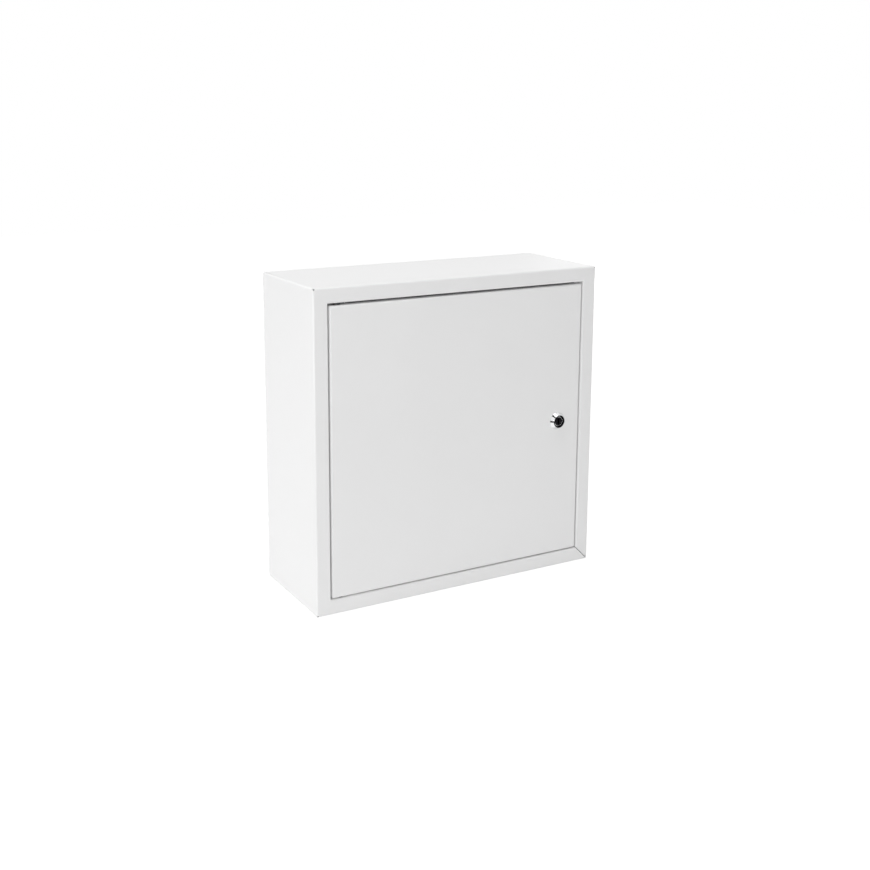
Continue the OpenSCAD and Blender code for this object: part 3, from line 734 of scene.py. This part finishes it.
def studs(name, node, points, diameter, pitch, height, rotation, finish):
    """Threaded studs at points, in place of a CAD node. Their tips are chamfered by a tenth of their width."""
    obj = path_object(name, points)
    run_tree(obj, tree_named(thread_tree), {
        "Diameter": diameter, "Pitch": pitch, "Length": height, "Tip": 0.1 * diameter,
        "Rotation": rotation, "Material": finishes()[finish]})
    smooth(obj, 25)
    return settle(obj, None, node)


class ENCLOSURE_OT_case(bpy.types.Operator):
    """Paint the case strip and the rear panel, and add the rear panel's spot welds"""
    bl_idname = "enclosure.case"
    bl_label = "Case"

    def execute(self, context):
        sizes = context.scene.enclosure_sizes
        case = dress("body_wrap", "painted_case", "paint", sizes.paint_edge, BEND_FACET)
        # The faces inside the relief holes take the second material, a dark grey: painted shade in the holes
        case.data.materials.append(finishes()["bare"])
        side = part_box("body_wrap")[1].x - sizes.relief_inset
        for face in case.data.polygons:
            x, y, z = face.center
            spoke = Vector((x - math.copysign(side, x), 0, z - math.copysign(side, z)))
            if spoke.length < sizes.relief_size / 2 + 0.05 * MM and spoke.dot(face.normal) < -0.5 * spoke.length:
                face.material_index = 1
        dress("back_panel", "painted_rear_panel", "paint", sizes.paint_edge, BEND_FACET)
        low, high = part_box("back_panel")
        inner = high.x - sizes.sheet
        ahead = 1 * MM    # the welds lie this far in front of the flange's middle
        y = (low.y + high.y) / 2 - ahead
        corners = [(-inner, y, -inner), (inner, y, -inner), (inner, y, inner), (-inner, y, inner)]
        welds = path_object("rear_panel_spot_welds", corners, closed=True)
        run_tree(welds, tree_named(weld_tree), {
            "Spacing": sizes.weld_spacing, "Size": sizes.weld_size, "Rise": sizes.weld_rise,
            "Axis": (0, 1, 0), "Material": finishes()["paint"]})
        smooth(welds, 60)
        settle(welds, None, "case")
        return {"FINISHED"}


class ENCLOSURE_OT_door(bpy.types.Operator):
    """Paint the folded door"""
    bl_idname = "enclosure.door"
    bl_label = "Door"

    def execute(self, context):
        sizes = context.scene.enclosure_sizes
        dress("door_panel", "painted_door", "paint", sizes.paint_edge, BEND_FACET)
        return {"FINISHED"}


class ENCLOSURE_OT_seals(bpy.types.Operator):
    """Lay the foam strip round the door opening and the foam under the cable cover"""
    bl_idname = "enclosure.seals"
    bl_label = "Seals"

    def execute(self, context):
        sizes = context.scene.enclosure_sizes
        low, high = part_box("door_seal")
        left, right = low.x, high.x - sizes.seal_width / 2
        top = high.z - sizes.seal_width / 2
        line = path_object("door_foam_seal", [
            (left, -top, 0), (right, -top, 0), (right, top, 0), (left, top, 0)])
        run_tree(line, tree_named(strip_tree), {
            "Width": sizes.seal_width, "Thickness": high.y - low.y, "Edge": sizes.seal_edge,
            "Corner": sizes.seal_corner, "Rotation": AWAY_FROM_WALL, "Offset": (0, (low.y + high.y) / 2, 0),
            "Material": finishes()["foam"]})
        smooth(line, 40)
        settle(line, None, "door_seal")
        dress("entry_seal", "cable_cover_foam", "foam", FOAMED, BORE_FACET)
        return {"FINISHED"}


class ENCLOSURE_OT_hinges(bpy.types.Operator):
    """Make the hinge brackets, pins, washers and bushes at the top and the bottom"""
    bl_idname = "enclosure.hinges"
    bl_label = "Hinges"

    def execute(self, context):
        sizes = context.scene.enclosure_sizes
        for end in ("top", "bottom"):
            dress("hinge_bracket_" + end, "plated_bracket_" + end, "zinc", sizes.plated_edge, HOLE_FACET)
            dress("hinge_pin_" + end, "plated_pin_" + end, "zinc", sizes.plated_edge)
            dress("hinge_washer_" + end, "nylon_washer_" + end, "nylon", TURNED)
            dress("hinge_bush_" + end, "brass_bush_" + end, "brass", TURNED)
        return {"FINISHED"}


class ENCLOSURE_OT_lock(bpy.types.Operator):
    """Make the lock's chromed head and threaded barrel, its black plug, and the parts behind the door"""
    bl_idname = "enclosure.lock"
    bl_label = "Lock"

    def execute(self, context):
        sizes = context.scene.enclosure_sizes
        low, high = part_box("lock_body")
        plug_low, plug_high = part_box("lock_plug")
        centre = (low + high) / 2
        door_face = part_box("door_panel")[0].y
        foot = (high.x - low.x) / 2
        bore = (plug_high.x - plug_low.x) / 2 + 0.05 * MM
        rim = sizes.lock_face / 2
        front, bowl = low.y, plug_low.y
        # Slot 1 paints the face's rim and bowl near black: a painted dark reflection
        chrome, black = 0, 1
        foot_height, ease = 0.6 * MM, 0.25 * MM
        rim_width, rim_out, rim_in, rim_drop = 1.2 * MM, 0.1 * MM, 0.4 * MM, 0.3 * MM
        ring_width, ring_drop = 0.35 * MM, 0.15 * MM
        head = lathe("head", eased([
            (bore, door_face, chrome), (foot, door_face, chrome), (foot, door_face - foot_height, chrome),
            (rim + rim_out, front + rim_drop, black), (rim - rim_in, front, black),
            (rim - rim_width, front, black), (bore + ring_width, bowl + ring_drop, chrome),
            (bore, bowl, chrome)], ease), centre)
        head.data.materials.append(finishes()["chrome"])
        head.data.materials.append(finishes()["black"])
        barrel = path_object("barrel", [(centre.x, door_face, centre.z)])
        run_tree(barrel, tree_named(thread_tree), {
            "Diameter": sizes.lock_barrel, "Pitch": sizes.lock_pitch, "Length": high.y - door_face, "Bore": 2 * bore,
            "Flats": sizes.lock_flats, "Tip": 0.5 * MM, "Rotation": TOWARDS_WALL, "Sides": 72,
            "Material": finishes()["chrome"]})
        lock = joined("chromed_lock_body", [head, barrel])
        smooth(lock, 25)
        settle(lock, None, "lock_body")
        # The plug, too, is painted near black as a dark reflection
        dress("lock_plug", "lock_plug_painted_dark", "black", PLUG)
        dress("lock_washer", "lock_washer_plain", "zinc", sizes.plated_edge)
        dress("lock_nut", "lock_hexagon_nut", "zinc", STAMPED, BORE_FACET)
        dress("lock_cam", "stamped_lock_cam", "zinc", STAMPED)
        dress("cam_washer", "cam_washer_plain", "zinc", sizes.plated_edge)
        dress("cam_screw", "cam_cross_screw", "zinc", SCREW)
        return {"FINISHED"}


class ENCLOSURE_OT_plate(bpy.types.Operator):
    """Make the galvanised mounting plate and its threaded studs, spacers, washers and nuts"""
    bl_idname = "enclosure.plate"
    bl_label = "Mounting plate"

    def execute(self, context):
        sizes = context.scene.enclosure_sizes
        dress("mounting_plate", "galvanised_mounting_plate", "sheet", STAMPED, HOLE_FACET)
        low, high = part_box("plate_studs")
        radius = sizes.plate_stud / 2
        spots = [(i * (high.x - radius), high.y, k * (high.x - radius)) for i in (-1, 1) for k in (-1, 1)]
        studs("plate_threaded_studs", "plate_studs", spots, 2 * radius, sizes.plate_pitch, high.y - low.y,
              AWAY_FROM_WALL, "zinc")
        dress("plate_spacers", "plate_spacer_tubes", "zinc", sizes.plated_edge)
        dress("plate_washers", "plate_plain_washers", "zinc", sizes.plated_edge)
        dress("plate_nuts", "plate_hexagon_nuts", "zinc", TURNED, BORE_FACET)
        return {"FINISHED"}


class ENCLOSURE_OT_cable_entry(bpy.types.Operator):
    """Make the painted cable cover and its threaded studs, washers and nuts"""
    bl_idname = "enclosure.cable_entry"
    bl_label = "Cable entry"

    def execute(self, context):
        sizes = context.scene.enclosure_sizes
        dress("entry_cover", "painted_cable_cover", "paint", sizes.paint_edge, HOLE_FACET)
        low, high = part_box("entry_studs")
        radius = sizes.entry_stud / 2
        spots = [
            (x, y, low.z) for x in (low.x + radius, 0, high.x - radius) for y in (low.y + radius, high.y - radius)]
        studs("cover_threaded_studs", "entry_studs", spots, 2 * radius, sizes.entry_pitch, high.z - low.z,
              UPWARDS, "zinc")
        dress("entry_washers", "cover_plain_washers", "zinc", sizes.plated_edge)
        dress("entry_nuts", "cover_hexagon_nuts", "zinc", SMALL, BORE_FACET)
        return {"FINISHED"}


class ENCLOSURE_OT_earthing(bpy.types.Operator):
    """Make the earth studs of the case and the door, with tooth washers and nuts"""
    bl_idname = "enclosure.earthing"
    bl_label = "Earthing"

    def execute(self, context):
        sizes = context.scene.enclosure_sizes
        for side, rotation in (("case", TO_THE_RIGHT), ("door", TOWARDS_WALL)):
            stud, washer = side + "_earth_stud", side + "_earth_washer"
            low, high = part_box(stud)
            centre = (low + high) / 2
            base = Vector((low.x, centre.y, centre.z)) if side == "case" else Vector((centre.x, low.y, centre.z))
            height = max(high - low)
            studs(side + "_earth_thread", stud, [base], sizes.earth_stud, sizes.earth_pitch, height,
                  rotation, "brass")
            ring = path_object(side + "_earth_tooth_washer", [base])
            run_tree(ring, tree_named(tooth_tree), {
                "Outer": sizes.earth_washer / 2, "Inner": sizes.earth_hole / 2, "Height": sizes.earth_rise,
                "Teeth": sizes.earth_teeth,
                "Rotation": rotation, "Material": finishes()["brass"]})
            smooth(ring, 30)
            settle(ring, None, washer)
            dress(side + "_earth_nut", side + "_earth_hexagon_nut", "brass", TURNED, BORE_FACET)
        return {"FINISHED"}


# ---------- Studio ----------

FLOOR_REACH = 4.0          # metres from the middle to the floor's edge
FLOOR_GLOW = 1.17          # keeps the far floor white to the camera
FLOOR_GLOW_SHARE = 0.82    # the rest of what the camera sees is lit paper, which holds the shadow


def seen_directly(tree):
    """1 for a ray from the camera, a mirror or glass, and 0 for light that falls on a surface."""
    path = add(tree, "ShaderNodeLightPath")
    mirror = add(tree, MATH, [
        path.outputs["Is Camera Ray"], path.outputs["Is Glossy Ray"]], operation="MAXIMUM")
    return add(tree, MATH, [mirror, path.outputs["Is Transmission Ray"]], operation="MAXIMUM")


def white_room(strength):
    """A white surround that lights softly and is seen as plain white."""
    world = bpy.data.worlds.new("white_room")
    world.use_nodes = True
    tree = world.node_tree
    tree.nodes.clear()
    level = add(tree, "ShaderNodeMapRange", {
        "Value": seen_directly(tree), "To Min": strength, "To Max": 1.0})
    back = add(tree, "ShaderNodeBackground", {"Color": (1, 1, 1, 1), "Strength": level})
    add(tree, "ShaderNodeOutputWorld", {"Surface": back})
    bpy.context.scene.world = world


def floor_sheet(base, z):
    """Matt white paper that stays white to the camera and keeps a faint shadow."""
    bm = bmesh.new()
    bmesh.ops.create_grid(bm, x_segments=8, y_segments=8, size=FLOOR_REACH)
    bmesh.ops.translate(bm, vec=(0, 0, z), verts=bm.verts)
    floor = from_bmesh("studio_floor", bm)
    made = bpy.data.materials.new("matt_white_paper")
    made.use_nodes = True
    tree = made.node_tree
    tree.nodes.clear()
    paper = add(tree, "ShaderNodeBsdfDiffuse", {"Color": (*base, 1)})
    glow = add(tree, "ShaderNodeEmission", {"Color": (1, 1, 1, 1), "Strength": FLOOR_GLOW})
    share = add(tree, MATH, [seen_directly(tree), FLOOR_GLOW_SHARE], operation="MULTIPLY")
    add(tree, "ShaderNodeOutputMaterial", {
        "Surface": add(tree, "ShaderNodeMixShader", [share, paper, glow])})
    floor.data.materials.append(made)


def soft_lamp(name, power, size, place, target):
    lamp = bpy.data.lights.new(name, "AREA")
    lamp.energy = power
    lamp.shape = "DISK"
    lamp.size = size
    obj = bpy.data.objects.new(name, lamp)
    bpy.context.scene.collection.objects.link(obj)
    place = Vector(place)
    obj.matrix_world = Matrix.Translation(place) @ (
        (Vector(target) - place).to_track_quat("-Z", "Y").to_matrix().to_4x4())
    return obj


def dark_card(name, seen_from, direction, distance, height, width):
    """A black card that only mirrors see, which gives polished metal its dark streaks."""
    bm = bmesh.new()
    bmesh.ops.create_grid(bm, x_segments=1, y_segments=1, size=0.5)
    aim = Vector(direction).normalized()
    turn = (-aim).to_track_quat("Z", "Y").to_matrix().to_4x4()
    bm.transform(Matrix.Translation(seen_from + aim * distance) @ turn @ Matrix.Diagonal((width, height, 1, 1)))
    card = from_bmesh(name, bm)
    made = bpy.data.materials.new(name)
    made.use_nodes = True
    tree = made.node_tree
    tree.nodes.clear()
    add(tree, "ShaderNodeOutputMaterial", {
        "Surface": add(tree, "ShaderNodeBsdfDiffuse", {"Color": (0.01, 0.01, 0.01, 1)})})
    card.data.materials.append(made)
    card.visible_camera = card.visible_diffuse = card.visible_shadow = card.visible_transmission = False


class ENCLOSURE_OT_studio(bpy.types.Operator):
    """Set up the floor, the white room, the lamps and the camera"""
    bl_idname = "enclosure.studio"
    bl_label = "Studio"

    def execute(self, context):
        s = context.scene.enclosure_studio
        low, high = CAD_BOX
        white_room(s.sky)
        floor_sheet(tuple(context.scene.enclosure_colours.floor), low.z - 0.2 * MM)
        middle = (low + high) / 2
        soft_lamp("front_lamp", s.front, 1.2, (-1.6, -2.0, 0.45), middle)
        soft_lamp("side_lamp", s.side, 1.2, (-2.4, 0.4, 0.35), middle)
        soft_lamp("top_lamp", s.top, 1.6, (-0.3, -0.3, 2.4), middle)
        soft_lamp("rear_lamp", s.rear, 1.4, (2.0, 1.6, 0.0), middle)
        lock_low, lock_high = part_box("lock_body")
        lock = (lock_low + lock_high) / 2
        dark_card("low_card", lock, (-0.956, -0.215, -0.192), 0.55, 0.17, 0.5)
        dark_card("high_card", lock, (-0.46, -0.197, 0.866), 1.0, 0.56, 0.36)
        back = Vector((
            math.sin(s.azimuth) * math.cos(s.elevation), -math.cos(s.azimuth) * math.cos(s.elevation),
            math.sin(s.elevation)))
        level = Vector((math.cos(s.azimuth), math.sin(s.azimuth), 0))
        upright = back.cross(level)
        across = level * math.cos(s.roll) + upright * math.sin(s.roll)
        camera = bpy.data.cameras.new("studio_camera")
        camera.sensor_width = 36
        camera.lens = s.lens
        camera.shift_y = s.shift
        camera.clip_start, camera.clip_end = 0.05, 50
        obj = bpy.data.objects.new("studio_camera", camera)
        context.scene.collection.objects.link(obj)
        turn = Matrix((across, back.cross(across), back)).transposed().to_4x4()
        obj.matrix_world = Matrix.Translation(Vector(s.aim) + back * s.distance) @ turn
        context.scene.camera = obj
        context.scene.view_settings.view_transform = "Standard"
        return {"FINISHED"}


# ---------- Add-on ----------

STEPS = (
    ENCLOSURE_OT_studio, ENCLOSURE_OT_case, ENCLOSURE_OT_door, ENCLOSURE_OT_seals, ENCLOSURE_OT_hinges,
    ENCLOSURE_OT_lock, ENCLOSURE_OT_plate, ENCLOSURE_OT_cable_entry, ENCLOSURE_OT_earthing)


class ENCLOSURE_PT_panel(bpy.types.Panel):
    """Lists the enclosure's pieces, sizes and colours"""
    bl_idname = "ENCLOSURE_PT_panel"
    bl_label = "Wall enclosure"
    bl_space_type = "VIEW_3D"
    bl_region_type = "UI"
    bl_category = "Enclosure"

    def draw(self, context):
        for step in STEPS:
            self.layout.operator(step.bl_idname)
        scene = context.scene
        for group in (scene.enclosure_sizes, scene.enclosure_colours, scene.enclosure_studio):
            box = self.layout.box()
            for name in group.__annotations__:
                box.prop(group, name)


CLASSES = (EnclosureColours, EnclosureSizes, EnclosureStudio, *STEPS, ENCLOSURE_PT_panel)


def register():
    for item in CLASSES:
        bpy.utils.register_class(item)
    bpy.types.Scene.enclosure_colours = PointerProperty(type=EnclosureColours)
    bpy.types.Scene.enclosure_sizes = PointerProperty(type=EnclosureSizes)
    bpy.types.Scene.enclosure_studio = PointerProperty(type=EnclosureStudio)


def unregister():
    del bpy.types.Scene.enclosure_studio
    del bpy.types.Scene.enclosure_sizes
    del bpy.types.Scene.enclosure_colours
    for item in reversed(CLASSES):
        bpy.utils.unregister_class(item)


def main():
    register()
    for step in STEPS:
        group, name = step.bl_idname.split(".")
        getattr(getattr(bpy.ops, group), name)()


if __name__ == "__main__":
    main()
